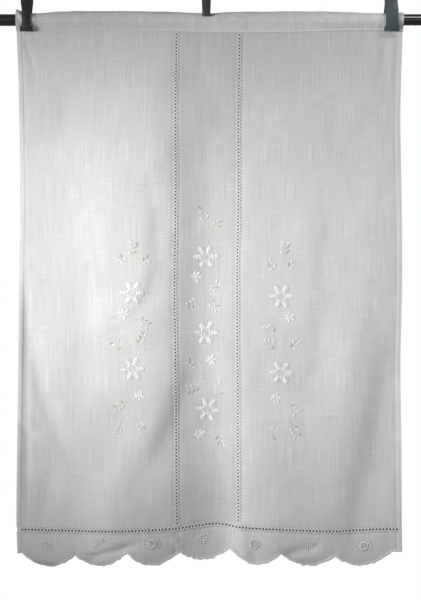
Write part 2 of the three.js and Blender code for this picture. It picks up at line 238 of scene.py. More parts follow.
# seeded unevenness from -1 to 1, smooth between the corners of its cells
def unevenness(x, down, cell, seed):
    counts = tuple(int(size / cell) + 3 for size in drape["fieldSize"])
    heights = np.random.default_rng(seed).uniform(-1, 1, counts)
    u, v = ((at - start) / cell for at, start in zip((x, down), drape["fieldFrom"]))
    i, j = np.floor(u).astype(int), np.floor(v).astype(int)
    s, t = smooth(u - i), smooth(v - j)
    upper = heights[i, j] * (1 - s) + heights[i + 1, j] * s
    lower = heights[i, j + 1] * (1 - s) + heights[i + 1, j + 1] * s
    return upper * (1 - t) + lower * t


# how far the cloth stands in front of the rod's axis
def clothForward(x, down):
    free = smooth((down - drape["foldStart"]) / (drape["foldFull"] - drape["foldStart"]))
    folded = sum(foldForward(fold, x, down) for fold in folds)
    creased = sum(creaseForward(crease, x, down) for crease in creases)
    curled = sum(curlForward(curl, x, down) for curl in curls)
    soft = drape["softHeight"] * unevenness(x, down, drape["softCell"], drape["seed"])
    fine = drape["fineHeight"] * unevenness(x, down, drape["fineCell"], drape["seed"] + 1)
    return free * (folded + curled + soft + fine) + creased


def hang(x, down, lift):
    return np.column_stack([x, -clothForward(x, down) - lift, -down]) / 1000


# shared helpers

rodBody = "root"


def pointsOf(mesh):
    flat = np.empty(len(mesh.vertices) * 3)
    mesh.vertices.foreach_get("co", flat)
    return flat.reshape(-1, 3)


def movePoints(mesh, points):
    mesh.vertices.foreach_set("co", np.asarray(points, float).ravel())
    mesh.update()


# edges that turn more than a soft bend stay crisp, and all faces are smooth
def keepCrisp(bm, degrees=50):
    for edge in bm.edges:
        edge.smooth = not (len(edge.link_faces) == 2 and edge.calc_face_angle() > math.radians(degrees))
    for face in bm.faces:
        face.smooth = True


def newMesh(name, bm):
    mesh = bpy.data.meshes.new(name)
    bm.to_mesh(mesh)
    bm.free()
    return mesh


def newObject(name, data):
    thing = bpy.data.objects.new(name, data)
    bpy.context.collection.objects.link(thing)
    return thing


def newPiece(name, mesh, materials, replaced=()):
    piece = newObject(name, mesh)
    for material in materials:
        mesh.materials.append(material)
    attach(piece, rodBody)
    if replaced:
        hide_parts(*replaced)
    return piece


# at each point, what a material can read of it: a hem share, which on the heading carries a painted light
# that grows towards the right, and a warmth
def paintCloth(mesh, hemsAndPaintedLight, warm=0):
    for name, values in (("hemmed", hemsAndPaintedLight), ("warmth", warm)):
        layer = mesh.attributes.new(name, "FLOAT", "POINT")
        layer.data.foreach_set("value", np.broadcast_to(values, len(mesh.vertices)).astype(np.float32))


# turns upright shapes to lie along x
def layAlong(bm):
    bmesh.ops.rotate(bm, verts=bm.verts, cent=(0, 0, 0), matrix=Matrix.Rotation(math.pi / 2, 3, "Y"))


# which step of a unit grid each place stands at
def stepOf(places, count):
    return np.rint((places + 0.5) * count).astype(int)


# finishes

def newMaterial(name, **sockets):
    material = bpy.data.materials.new(name)
    material.use_nodes = True
    shader = material.node_tree.nodes["Principled BSDF"]
    for socket, value in sockets.items():
        shader.inputs[socket.replace("_", " ")].default_value = value
    return material, material.node_tree, shader


def newNode(tree, kind, **settings):
    node = tree.nodes.new("ShaderNode" + kind)
    for name, value in settings.items():
        setattr(node, name, value)
    return node


# noise on the object's own metres, stretched by a different scale along each axis
def noiseOn(tree, scale, detail=2.0, rough=0.5):
    place = newNode(tree, "TexCoord")
    mapping = newNode(tree, "Mapping")
    mapping.inputs["Scale"].default_value = scale
    noise = newNode(tree, "TexNoise")
    noise.inputs["Scale"].default_value = 1.0
    noise.inputs["Detail"].default_value = detail
    noise.inputs["Roughness"].default_value = rough
    tree.links.new(place.outputs["Object"], mapping.inputs["Vector"])
    tree.links.new(mapping.outputs["Vector"], noise.inputs["Vector"])
    return noise.outputs["Fac"]


def mathNode(tree, operation, first, second):
    node = newNode(tree, "Math", operation=operation)
    for socket, value in zip(node.inputs, (first, second)):
        if isinstance(value, (int, float)):
            socket.default_value = value
        else:
            tree.links.new(value, socket)
    return node.outputs["Value"]


# spreads a value from one range to another
def spread(tree, value, low, high, toLow, toHigh, clamp=True):
    node = newNode(tree, "MapRange", clamp=clamp)
    for name, number in zip(("From Min", "From Max", "To Min", "To Max"), (low, high, toLow, toHigh)):
        node.inputs[name].default_value = number
    tree.links.new(value, node.inputs["Value"])
    return node.outputs["Result"]


# even noise, spread from its usual range to low and high
def speckles(tree, perMetre, low, high, detail=2.0):
    return spread(tree, noiseOn(tree, (perMetre,) * 3, detail), 0.3, 0.7, low, high)


# a colour made darker or lighter by a value near 1
def shadeColor(tree, color, value):
    node = newNode(tree, "VectorMath", operation="SCALE")
    if isinstance(color, tuple):
        node.inputs[0].default_value = color
    else:
        tree.links.new(color, node.inputs[0])
    tree.links.new(value, node.inputs["Scale"])
    return node.outputs["Vector"]


def tint(tree, shader, color, tone):
    tree.links.new(shadeColor(tree, color, tone), shader.inputs["Base Color"])


# strength is a share, and distance is in metres
def emboss(tree, shader, height, strength, distance):
    bump = newNode(tree, "Bump")
    bump.inputs["Strength"].default_value = strength
    bump.inputs["Distance"].default_value = distance
    tree.links.new(height, bump.inputs["Height"])
    tree.links.new(bump.outputs["Normal"], shader.inputs["Normal"])


def mixColor(tree, value, first, second):
    node = newNode(tree, "Mix", data_type="RGBA")
    tree.links.new(value, node.inputs[0])
    for socket, color in ((node.inputs[6], first), (node.inputs[7], second)):
        if isinstance(color, tuple):
            socket.default_value = (*color, 1)
        else:
            tree.links.new(color, socket)
    return node.outputs[2]


def readPoints(tree, name):
    return newNode(tree, "Attribute", attribute_name=name, attribute_type="GEOMETRY").outputs["Fac"]


linenLook = {
    "color": (0.635, 0.635, 0.636), "centreColor": (0.59, 0.59, 0.591),
    # the warm ground round leaf sprays, its reach in millimetres
    "warm": (0.63, 0.622, 0.585), "warmReach": 12, "warmShare": 0.5, "warmMost": 0.6,
    # slubs to a metre across their length, and along it in upright and level threads
    "slubAcross": 430, "slubAlong": 17, "slubAlongLevel": 45, "threadPitch": 0.0005,
    # and, last, how much lighter a doubled hem is, a step that also scales the heading's painted light
    "slubShade": 0.08, "yarnShade": 0.014, "cloudShade": 0.025, "hemAndPaintedLightGain": 1.07,
}


# bands of threads along one axis, each pitch apart
def threadBands(tree, axis, pitch):
    place = newNode(tree, "TexCoord")
    wave = newNode(tree, "TexWave", wave_type="BANDS", bands_direction=axis, wave_profile="SIN")
    wave.inputs["Scale"].default_value = 2 * math.pi / (20 * pitch)
    wave.inputs["Distortion"].default_value = 0.6
    wave.inputs["Detail"].default_value = 1.0
    wave.inputs["Detail Scale"].default_value = 0.2
    tree.links.new(place.outputs["Object"], wave.inputs["Vector"])
    return wave.outputs["Fac"]


def product(tree, *values):
    total = values[0]
    for value in values[1:]:
        total = mathNode(tree, "MULTIPLY", total, value)
    return total


# plain-woven linen: sparse light and dark slubs both ways over faint yarn lines, soft clouds
# of tone, a lighter doubled hem and, on the heading, a painted light that grows towards the right
def linen(name, color):
    look = linenLook
    material, tree, shader = newMaterial(
        name, Roughness=0.92, Specular_IOR_Level=0.18, Sheen_Weight=0.12, Sheen_Roughness=0.5
    )
    across, shade = look["slubAcross"], look["slubShade"]
    yarnShade, cloudShade = look["yarnShade"], look["cloudShade"]
    upright = noiseOn(tree, (across, 20, look["slubAlong"]), 0.0)
    level = noiseOn(tree, (look["slubAlongLevel"], 20, across), 0.0)
    yarn = noiseOn(tree, (1100, 20, 40), 1.0)
    cloudy = noiseOn(tree, (9, 9, 6), 3.0)
    slubbed = (
        spread(tree, noise, low, high, 1, 1 + change * shade)
        for noise, low, high, change in (
            (upright, 0.6, 0.76, 1),
            (upright, 0.4, 0.26, -0.8),
            (level, 0.65, 0.8, 1),
            (level, 0.35, 0.22, -0.6),
        )
    )
    tone = product(
        tree,
        *slubbed,
        spread(tree, yarn, 0.3, 0.7, 1 - yarnShade, 1 + yarnShade),
        spread(tree, cloudy, 0.3, 0.7, 1 - cloudShade, 1 + cloudShade),
        spread(tree, readPoints(tree, "hemmed"), 0, 1, 1, look["hemAndPaintedLightGain"], False),
    )
    tint(tree, shader, mixColor(tree, readPoints(tree, "warmth"), color, look["warm"]), tone)
    warp, weft = (threadBands(tree, axis, look["threadPitch"]) for axis in "XZ")
    woven, slubs = mathNode(tree, "MULTIPLY", warp, weft), mathNode(tree, "ADD", upright, level)
    emboss(tree, shader, mathNode(tree, "ADD", woven, slubs), 0.3, 0.0002)
    return material


# thread colours: white, and a darker painted-shade colour for the shadow beside raised stitches, the shade
# in small holes and the leaves on a spray's darker side
threadLook = {"white": (0.85, 0.85, 0.845), "paintedShade": (0.49, 0.475, 0.42), "twist": 900}
# painted shade: the near-black floor of each openwork pit stands in for the dark seen through a hole
paintedHoleShade = (0.035, 0.036, 0.038)
lacquerColor = (0.011, 0.011, 0.012)
steelColor = (0.42, 0.43, 0.45)


# cotton thread with a slight twist and gloss
def thread(name, color):
    material, tree, shader = newMaterial(
        name, Roughness=0.55, Specular_IOR_Level=0.35, Sheen_Weight=0.2, Sheen_Roughness=0.4
    )
    twist = noiseOn(tree, (threadLook["twist"],) * 3)
    tint(tree, shader, color, spread(tree, twist, 0.3, 0.7, 0.95, 1.05))
    emboss(tree, shader, twist, 0.3, 0.0002)
    return material


# painted shade for the pit floors, in place of the dark seen through each hole
def holeShadow():
    material, tree, shader = newMaterial("hole_shadow", Roughness=1.0, Specular_IOR_Level=0.0)
    tint(tree, shader, paintedHoleShade, speckles(tree, 400, 0.8, 1.2))
    return material


def blackLacquer():
    material, tree, shader = newMaterial(
        "black_lacquer", Roughness=0.28, Specular_IOR_Level=0.5, Coat_Weight=0.5, Coat_Roughness=0.15
    )
    worn = noiseOn(tree, (60, 60, 60), 4.0)
    drawn = noiseOn(tree, (30, 900, 900), 3.0)
    tint(tree, shader, lacquerColor, spread(tree, worn, 0.35, 0.7, 0.8, 1.5))
    tree.links.new(spread(tree, drawn, 0.3, 0.7, 0.22, 0.36), shader.inputs["Roughness"])
    return material


# moulded plastic with a fine grain and paler rubbed marks
def clipPlastic(name, color, rubbed):
    material, tree, shader = newMaterial(name, Roughness=0.45, Specular_IOR_Level=0.45)
    grain = noiseOn(tree, (1500, 1500, 1500))
    marks = spread(tree, noiseOn(tree, (120, 120, 260), 4.0, 0.7), 0.52, 0.72, 0, 0.6)
    tree.links.new(mixColor(tree, marks, color, rubbed), shader.inputs["Base Color"])
    tree.links.new(spread(tree, grain, 0.3, 0.7, 0.38, 0.55), shader.inputs["Roughness"])
    emboss(tree, shader, grain, 0.25, 0.0001)
    return material


def springSteel():
    material, tree, shader = newMaterial("spring_steel", Metallic=1.0, Roughness=0.35)
    tint(tree, shader, steelColor, speckles(tree, 700, 0.75, 1.15, 3.0))
    tree.links.new(speckles(tree, 200, 0.3, 0.5), shader.inputs["Roughness"])
    return material


outerLinen = linen("outer_linen", linenLook["color"])
centreLinen = linen("centre_linen", linenLook["centreColor"])
whiteThread = thread("white_thread", threadLook["white"])
# the thread in painted shade
paintedShadeThread = thread("painted_shade_thread", threadLook["paintedShade"])
paintedHoleShadow = holeShadow()
print("finishes mixed")

# rod

rodLook = {"radius": 9, "length": 700, "sides": 96, "rim": 0.8}


def makeRod():
    bm = bmesh.new()
    radius, length = rodLook["radius"] / 1000, rodLook["length"] / 1000
    bmesh.ops.create_cone(
        bm, cap_ends=True, segments=rodLook["sides"], radius1=radius, radius2=radius, depth=length
    )
    rims = [edge for edge in bm.edges if edge.calc_face_angle() > 1]
    rim = rodLook["rim"] / 1000
    bmesh.ops.bevel(bm, geom=rims, offset=rim, segments=3, profile=0.5, affect="EDGES", material=-1)
    layAlong(bm)
    keepCrisp(bm, 35)
    newPiece("rod_bar", newMesh("rod_bar", bm), [blackLacquer()], ["rod"])


makeRod()
print("rod turned")

# x, down and turn of the six-lobed flowers, small blossoms and sprays of leaves, and the size of
# sprays. turn is in degrees, clockwise on the cloth
motifPlaces = {
    ("flower", "left"): [
        (-119.7, 424.1, 3), (-119.7, 542.2, -4),
    ],
    ("flower", "centre"): [
        (-6.2, 368.1, -3), (-6.2, 486.3, 2), (-3.1, 605.9, 5),
    ],
    ("flower", "right"): [
        (111.1, 429.5, -2), (111.1, 548.4, 4),
    ],
    ("blossom", "left"): [
        (-132.9, 456.7, 20), (-109.6, 582.6, -35),
    ],
    ("blossom", "centre"): [
        (-21, 399.2, 10), (3.1, 528.2, 50), (-15.5, 643.2, -15),
    ],
    ("blossom", "right"): [
        (124.3, 461.4, 30), (102.6, 587.3, -10),
    ],
    ("spray", "left"): [
        (-119.7, 357.3, -80, 1.15), (-136, 372, -140, 0.9), (-105, 376, -30, 0.9),
        (-104.1, 469.1, 40, 0.9), (-107.2, 497.1, -60, 0.9), (-141.4, 504.9, -140, 1),
        (-138.3, 598.1, 150, 0.9), (-139.9, 632.3, 110, 1.1), (-107.2, 630.8, 65, 1),
    ],
    ("spray", "centre"): [
        (-9.3, 302.9, -105, 1.2), (9.3, 320, -60, 0.9), (6.2, 416.3, -50, 0.9),
        (-24.9, 439.6, 160, 0.9), (4.7, 442.7, 45, 1), (-24.9, 536, -150, 0.9),
        (-23.3, 571.7, 170, 1), (14, 574.8, -70, 1.1), (15.5, 652.5, 75, 1.2),
    ],
    ("spray", "right"): [
        (116.6, 357.3, -85, 1.1), (96.3, 382.1, -130, 0.9), (125.9, 380.6, -40, 0.9),
        (94.8, 478.5, 150, 0.9), (94.8, 503.3, -160, 0.9), (130.5, 504.9, -50, 1),
        (127.4, 602.8, 50, 1), (99.5, 637, 105, 1.1), (130.5, 637, 60, 1),
    ],
}
motifs = table(
    "kind panel x down turn size",
    *((*group, *place) for group, places in motifPlaces.items() for place in places),
)

# linen panels and border

panelLook = {
    "length": 775, "thick": 0.6, "cell": 2.8, "hemStep": 1, "borderWidth": 598, "borderRows": 24,
    # how far a hem stands out in front and behind, and the groove along its inner line
    "hemFront": 0.12, "hemBack": 0.55, "groove": 0.4, "grooveAt": 0.5,
    # how far the panels reach under a strip, and how far behind it they lie
    "lap": 2.2, "lapBack": 0.78,
}


# a unit square of cloth with a front and a back, its rims crisp
def clothSquare(columns, rows):
    bm = bmesh.new()
    bmesh.ops.create_grid(bm, x_segments=columns, y_segments=rows, size=0.5)
    bmesh.ops.solidify(bm, geom=bm.faces[:], thickness=1)
    bmesh.ops.recalc_face_normals(bm, faces=bm.faces)
    keepCrisp(bm)
    return bm


# how far a place lies inside the nearer side edge
def insideEdge(x, down):
    return np.minimum(x - leftEdge(down), rightEdge(down) - x)


def hemmed(x, down):
    return smooth((drape["hem"] - insideEdge(x, down)) / drape["soft"] + 0.5)


# the front is pressed flat at a hem and dips along the hem's inner line
def frontLift(x, down):
    inside = insideEdge(x, down) - drape["hem"] - panelLook["grooveAt"]
    dip = np.exp(-((inside / drape["soft"]) ** 2))
    return panelLook["thick"] / 2 + panelLook["hemFront"] * hemmed(x, down) - panelLook["groove"] * dip


def backLift(x, down):
    return -panelLook["thick"] / 2 - panelLook["hemBack"] * hemmed(x, down)


# warm ground round the leaves in painted shade, strongest at each leaf spray
def warmth(x, down):
    reach = linenLook["warmReach"]
    sprays = [row for row in motifs if row["kind"] == "spray"]
    near = [np.exp(-((x - row["x"]) ** 2 + (down - row["down"]) ** 2) / reach**2) for row in sprays]
    return np.clip(linenLook["warmShare"] * sum(near), 0, linenLook["warmMost"])


# shares of a width at which columns stand, closer together in a hem at low or high
def columnShares(width, hemAt):
    hem, cell = drape["hem"] + 2, panelLook["cell"]
    inHem = np.arange(0, hem, panelLook["hemStep"])
    lowPart = inHem if "low" in hemAt else np.array([0])
    highPart = width - inHem[::-1] if "high" in hemAt else np.array([width])
    count = max(int((highPart[0] - lowPart[-1]) / cell), 1)
    middle = np.linspace(lowPart[-1], highPart[0], count + 1)[1:-1]
    return np.concatenate([lowPart, middle, highPart]) / width


# cloth between two side curves and two level ones, its columns standing at these shares.
# The second pass corrects for the slant of the curves
def hangCloth(name, shares, rows, low, high, top, bottom, material, node):
    mesh = newMesh(name, clothSquare(len(shares) - 1, rows))
    unit = pointsOf(mesh)
    across = shares[stepOf(unit[:, 0], len(shares) - 1)]
    along, isBack = 0.5 - unit[:, 1], unit[:, 2] < -0.5
    x = 0
    for _ in range(2):
        down = top(x) + (bottom(x) - top(x)) * along
        x = low(down) + (high(down) - low(down)) * across
    lift = np.where(isBack, backLift(x, down), frontLift(x, down)) - lapBehind(x, down)
    movePoints(mesh, hang(x, down, lift))
    paintCloth(mesh, hemmed(x, down), warmth(x, down))
    return newPiece(name, mesh, [material], [node])


def panelTop(x):
    return seamLine(x) - drape["overlap"]


half = drape["strip"] / 2
lap = panelLook["lap"]


def stripTop(x):
    return levelLine(x) - half


def stripBottom(x):
    return levelLine(x) + half


# the last stretch of a panel beside a strip lies behind it
def lapBehind(x, down):
    fromStrip = np.minimum(np.abs(x - leftLine(down)), np.abs(x - rightLine(down))) - half
    fromLevel = np.abs(down - levelLine(x)) - half
    return panelLook["lapBack"] * smooth(1 - np.minimum(fromStrip, fromLevel) / drape["soft"])


panelPlans = table(
    "name low high hem",
    ("left", leftEdge, lambda down: leftLine(down) - half + lap, "low"),
    ("centre", lambda down: leftLine(down) + half - lap, lambda down: rightLine(down) - half + lap, "none"),
    ("right", lambda down: rightLine(down) + half - lap, rightEdge, "high"),
)


def makePanel(plan):
    width = float(plan["high"](400.0) - plan["low"](400.0))
    rows = int(panelLook["length"] / panelLook["cell"])
    isCentre = plan["name"] == "centre"
    return hangCloth(
        f"panel_{plan['name']}_cloth", columnShares(width, plan["hem"]), rows, plan["low"], plan["high"],
        panelTop, lambda x: stripTop(x) + lap, centreLinen if isCentre else outerLinen,
        f"panel_{plan['name']}",
    )


panels = {plan["name"]: makePanel(plan) for plan in panelPlans}


def makeBorder():
    shares = columnShares(panelLook["borderWidth"], "low high")
    return hangCloth(
        "border_cloth", shares, panelLook["borderRows"], leftEdge, rightEdge,
        lambda x: stripBottom(x) - lap, scallopEdge, outerLinen, "border",
    )


border = makeBorder()
print("panels and border hung")

# heading, folded over the rod

headingLook = {
    "from": -301, "width": 601, "columns": 230, "legSteps": 12, "archSteps": 22,
    # room round the rod, and the pocket's own thickness, which its middle line allows for
    "clearance": 0.5, "clothThick": 1, "legGap": 1.3, "thick": 0.6,
    # creases die out over the crest, this far before and behind the rod's axis
    "frontSoft": 2,
    # small puckers, which begin and are full at these heights
    "pucker": 0.35, "puckerCell": 9, "puckerFrom": -17, "puckerFull": -11,
    "paintedLightToRight": 3.6,  # a painted light that makes the heading lighter towards the right
}

# creases in the heading's front, where the clips nip it
headingCreases = table(
    "at x1 down1 x2 down2 width forward",
    ("left corner fold", -303, -18, -280, 14, 2.6, 2.2),
    ("left corner hollow", -300, -6, -284, 18, 2.4, -1.4),
    ("left clip fold", -274, -14, -272, 20, 3, 0.9),
    ("centre fold 1", -20, -16, -26, 20, 4, 0.4),
    ("centre fold 2", 8, -16, 14, 20, 4, 0.4),
    ("right clip fold", 266, -14, 260, 20, 4, 0.5),
    ("right clip hollow", 271, -14, 266, 20, 3, -0.5),
    ("right corner fold", 297, -16, 292, 16, 2.5, 0.9),
)


# points of (distance in front of the rod's axis, height), from the front edge over the rod
def pocketSection(seam, rise):
    look = headingLook
    around = rodLook["radius"] + look["clearance"] + look["clothThick"] / 2
    crest = rodLook["radius"] + rise - look["clothThick"] / 2
    legGap = look["legGap"]
    legTop = Vector((legGap, drape["overlap"] - seam))
    tangent = math.atan2(legTop.y, legTop.x) + math.acos(around / legTop.length)
    leave = Vector((math.cos(tangent), math.sin(tangent))) * around
    front = [Vector((legGap, -seam)), Vector((legGap, -seam + drape["overlap"] / 2))]
    front += [legTop.lerp(leave, step / look["legSteps"]) for step in range(look["legSteps"])]
    for step in range(look["archSteps"]):
        angle = tangent + (math.pi / 2 - tangent) * step / look["archSteps"]
        height = crest if angle > 0 else around
        front.append(Vector((around * math.cos(angle), height * math.sin(angle))))
    back = [Vector((-point.x, point.y)) for point in reversed(front)]
    return [*front, Vector((0, crest)), *back]


def makeHeading():
    look = headingLook
    columns = look["columns"]
    rows = 2 * (2 + look["legSteps"] + look["archSteps"])
    sections = []
    for i in range(columns + 1):
        x = look["from"] + look["width"] * i / columns
        section = pocketSection(float(seamLine(x)), float(crestRise(x)))
        sections.append([(x, point.x, point.y) for point in section])
    x, forward, height = np.moveaxis(np.array(sections), 2, 0)
    alongForward, alongHeight = np.gradient(forward, axis=1), np.gradient(height, axis=1)
    length = np.hypot(alongForward, alongHeight)
    outForward, outHeight = alongHeight / length, -alongForward / length
    isFront = smooth(0.5 + forward / look["frontSoft"] / 2)
    creased = sum(creaseForward(crease, x, -height) for crease in headingCreases) * isFront
    uneven = unevenness(x, height * 2, look["puckerCell"], drape["seed"] + 2)
    rising = (height - look["puckerFrom"]) / (look["puckerFull"] - look["puckerFrom"])
    out = creased + look["pucker"] * uneven * smooth(rising)
    mesh = newMesh("heading_cloth", clothSquare(columns, rows))
    unit = pointsOf(mesh)
    at = stepOf(unit[:, 0], columns), stepOf(unit[:, 1], rows)
    lift = out[at] + np.where(unit[:, 2] < -0.5, -0.5, 0.5) * look["thick"]
    points = [x[at], -forward[at] - outForward[at] * lift, height[at] + outHeight[at] * lift]
    movePoints(mesh, np.column_stack(points) / 1000)
    # painted light: the heading's tone grows lighter towards the right, standing in for light that falls
    # more on its right side
    paintCloth(mesh, look["paintedLightToRight"] * smooth(0.5 + x[at] / drape["width"]))
    return newPiece("heading_cloth", mesh, [outerLinen], ["heading"])


heading = makeHeading()
print("heading folded")

# threads, each a slender spindle laid between two places


def threadShape(sides, rings):
    bm = bmesh.new()
    bmesh.ops.create_uvsphere(bm, u_segments=sides, v_segments=rings, radius=1)
    layAlong(bm)
    bmesh.ops.triangulate(bm, faces=bm.faces)
    mesh = newMesh("thread_shape", bm)
    faces = np.array([tuple(face.vertices) for face in mesh.polygons])
    points = pointsOf(mesh)
    bpy.data.meshes.remove(mesh)
    return points, faces


threadShapes = {"fine": threadShape(5, 4), "satin": threadShape(6, 4)}


# one joined mesh of threads. Each row is x and down of both ends, radius, lift, arch and tone,
# where tone 1 takes the thread in painted shade, and route takes places on a strip to places on the cloth
def sew(name, threads, shape="satin", route=None):
    rows = np.array(threads, float)
    unit, faces = threadShapes[shape]
    fromX, fromDown, toX, toDown, radius, lift, arch, tone = rows.T[:, :, None]
    length = np.maximum(np.hypot(toX - fromX, toDown - fromDown), 0.01)
    runX, runDown = (toX - fromX) / length, (toDown - fromDown) / length
    t, side, up = (unit[:, 0] + 1) / 2, unit[:, 1], unit[:, 2]
    x = fromX + runX * length * t - runDown * radius * side
    down = fromDown + runDown * length * t + runX * radius * side
    raised = lift + arch * 4 * t * (1 - t) + np.sign(lift) * radius * 0.8 * up
    x, down, raised = x.ravel(), down.ravel(), raised.ravel()
    if route:
        x, down = route(x, down)
    count = len(rows)
    allFaces = (faces[None] + len(unit) * np.arange(count)[:, None, None]).reshape(-1, 3)
    mesh = bpy.data.meshes.new(name)
    mesh.from_pydata(hang(x, down, raised), [], allFaces.tolist())
    mesh.polygons.foreach_set("use_smooth", np.ones(len(allFaces), bool))
    mesh.polygons.foreach_set("material_index", np.repeat(rows[:, 7].astype(int), len(faces)))
    bm = bmesh.new()
    bm.from_mesh(mesh)
    bmesh.ops.recalc_face_normals(bm, faces=bm.faces)
    bm.to_mesh(mesh)
    bm.free()
    return newPiece(name, mesh, [whiteThread, paintedShadeThread])


# openwork strips: a row of round holes between two rows of pin holes, each a shallow pit whose floor is a
# painted dark shade instead of an opening

openwork = {
    "across": (-5.2, -3.7, -2.6, -1.7, 0, 1.7, 2.6, 3.7, 5.2), "step": 2.6, "holeEvery": 2,
    "pinEvery": 2, "pin": 0.74, "thick": 0.8, "pit": 0.3, "slope": 0.1, "roundness": 0.1,
    "levelFrom": -299.5,
}


# sinks a round pit at each of these points, its floor in the second material, a painted dark shade
def sinkPits(bm, verts, radius):
    pit = bmesh.ops.bevel(
        bm, geom=verts, offset=radius, segments=2, profile=openwork["roundness"], affect="VERTICES",
        material=-1,
    )["faces"]
    bmesh.ops.inset_region(
        bm, faces=pit, thickness=openwork["slope"], depth=-openwork["pit"], use_boundary=True
    )
    for face in pit:
        face.material_index = 1


def isWorked(along, plan):
    return plan["from"] < along < plan["length"] - plan["to"]


# a flat strip in its own millimetres, x across and y along, pitted on both faces
def pittedStrip(plan):
    look = openwork
    length = plan["length"]
    rows = int(length / look["step"])
    bm = bmesh.new()
    bmesh.ops.create_grid(bm, x_segments=len(look["across"]) - 1, y_segments=rows, size=0.5)
    middle = len(look["across"]) // 2
    holes, pins = [], []
    for vert in bm.verts:
        i = round((vert.co.x + 0.5) * (len(look["across"]) - 1))
        j = round((vert.co.y + 0.5) * rows)
        vert.co = (look["across"][i], j * length / rows, look["thick"] / 2)
        if not isWorked(vert.co.y, plan):
            continue
        if i == middle and j % look["holeEvery"] == 1:
            holes.append(vert)
        if i in (1, 2 * middle - 1) and j % look["pinEvery"] == 0:
            pins.append(vert)
    sinkPits(bm, holes, plan["hole"])
    sinkPits(bm, pins, look["pin"])
    front = bm.faces[:]
    copied = bmesh.ops.duplicate(bm, geom=bm.verts[:] + bm.edges[:] + front)["geom"]
    backVerts = [part for part in copied if isinstance(part, bmesh.types.BMVert)]
    bmesh.ops.scale(bm, vec=(1, 1, -1), verts=backVerts)
    backFaces = [part for part in copied if isinstance(part, bmesh.types.BMFace)]
    bmesh.ops.reverse_faces(bm, faces=backFaces)
    bmesh.ops.bridge_loops(bm, edges=[edge for edge in bm.edges if edge.is_boundary])
    bmesh.ops.recalc_face_normals(bm, faces=bm.faces)
    keepCrisp(bm, 40)
    return bm


def uprightRoute(line, top):
    return lambda across, along: (line(top + along) + across, top + along)


def levelRoute(across, along):
    x = openwork["levelFrom"] + along
    return x, levelLine(x) + across


# from and to are the plain stretches at both ends of a strip
stripPlans = table(
    "name length route from to hole",
    ("left", 770.3, uprightRoute(leftLine, 14.6), 3, 1.6, 1.35),
    ("right", 767.3, uprightRoute(rightLine, 15.8), 3, 1.6, 1.3),
    ("level", 598, levelRoute, 6, 6, 1.6),
)

hemstitch = {
    "radius": 0.4, "lift": 0.42, "arch": 0.3, "stray": 0.2, "fromHole": 1.65, "toPin": 2.95,
    "fan": 0.4,  # how far a fan opens at the hole, as a share of its width at the pin holes
    "bar": 0.45, "barApart": 0.42, "barReach": 1.7,
}


# stitches fan from each hole to the pin holes beside it, and wrap the bars between holes
def hemstitches(plan):
    look = hemstitch
    rows = int(plan["length"] / openwork["step"])
    step = plan["length"] / rows
    lift, arch, stray = look["lift"], look["arch"], look["stray"]
    chance = np.random.default_rng(drape["seed"] + 5)
    threads = []
    for j in range(1, rows, openwork["holeEvery"]):
        hole = j * step
        if not isWorked(hole, plan):
            continue
        for side in (-1, 1):
            for reach in (-1, 0, 1):
                jitter = chance.uniform(-stray, stray)
                inner = (side * look["fromHole"], hole + reach * look["fan"] * step)
                outer = (side * (look["toPin"] + jitter), hole + reach * step + jitter)
                threads.append((*inner, *outer, look["radius"], lift, arch, 0))
        for offset in (-look["barApart"], look["barApart"]):
            wide = look["barReach"] + chance.uniform(-stray, stray)
            start = (-wide, hole + step + offset)
            end = (wide, hole + step + offset + chance.uniform(-stray, stray))
            threads.append((*start, *end, look["bar"], lift, arch, 0))
    return threads


def bothFaces(threads):
    behind = [(*places, radius, -lift, -arch, tone) for *places, radius, lift, arch, tone in threads]
    return threads + behind


def makeStrip(plan):
    name = f"openwork_{plan['name']}"
    mesh = newMesh(f"{name}_cloth", pittedStrip(plan))
    flat = pointsOf(mesh)
    x, down = plan["route"](flat[:, 0], flat[:, 1])
    if plan["name"] == "level":
        x = np.clip(x, leftEdge(down) + 0.2, rightEdge(down) - 0.2)
    movePoints(mesh, hang(x, down, flat[:, 2]))
    paintCloth(mesh, hemmed(x, down))
    strip = newPiece(mesh.name, mesh, [outerLinen, paintedHoleShadow], [name])
    return strip, sew(f"{name}_stitches", bothFaces(hemstitches(plan)), "fine", plan["route"])


strips = {plan["name"]: makeStrip(plan) for plan in stripPlans}
print("openwork stitched")

# embroidery

satinLook = {
    "radius": 0.52, "lift": 0.22, "arch": 0.25, "pitch": 0.95, "missed": 0.06, "taper": 0.65,
    "slip": 0.4, "lean": 0.2,
}
stemLook = {"pitch": 2.2, "lift": 0.32, "arch": 0.1, "overlap": 0.15}
flowerLook = {
    "lobes": (0, 62, 118, 180, 242, 298), "lobeAt": 13.2, "lobeLength": 10.4, "lobeWidth": 9.8,
    "sizes": (0.9, 1.08), "rimAt": 12.4, "rim": 6, "rimTurn": 115, "rimThread": 0.12, "ring": 6.9,
    "ringWidth": 3.2, "ringStitches": 28, "ringThread": 0.6, "disc": 5.2,
    "lattice": (-3.6, -1.8, 0, 1.8, 3.6), "whiteBar": 0.34, "paintedShadeBar": 0.22,
}
blossomLook = {
    "lobes": 6, "lobeAt": 5.2, "lobeLength": 6.4, "lobeWidth": 6.4, "sizes": (0.75, 1.15),
    "middle": 3.6,
}
sprayLook = {
    "stem": 22, "stemThread": 0.12, "leaf": 8.6, "leafWidth": 1.8, "apart": 7, "spread": 48,
    "stray": 14, "missing": 0.15, "white": 0.25,
}


def turned(x, down, angle, along, aside=0.0):
    c, s = math.cos(math.radians(angle)), math.sin(math.radians(angle))
    return x + c * along - s * aside, down + s * along + c * aside


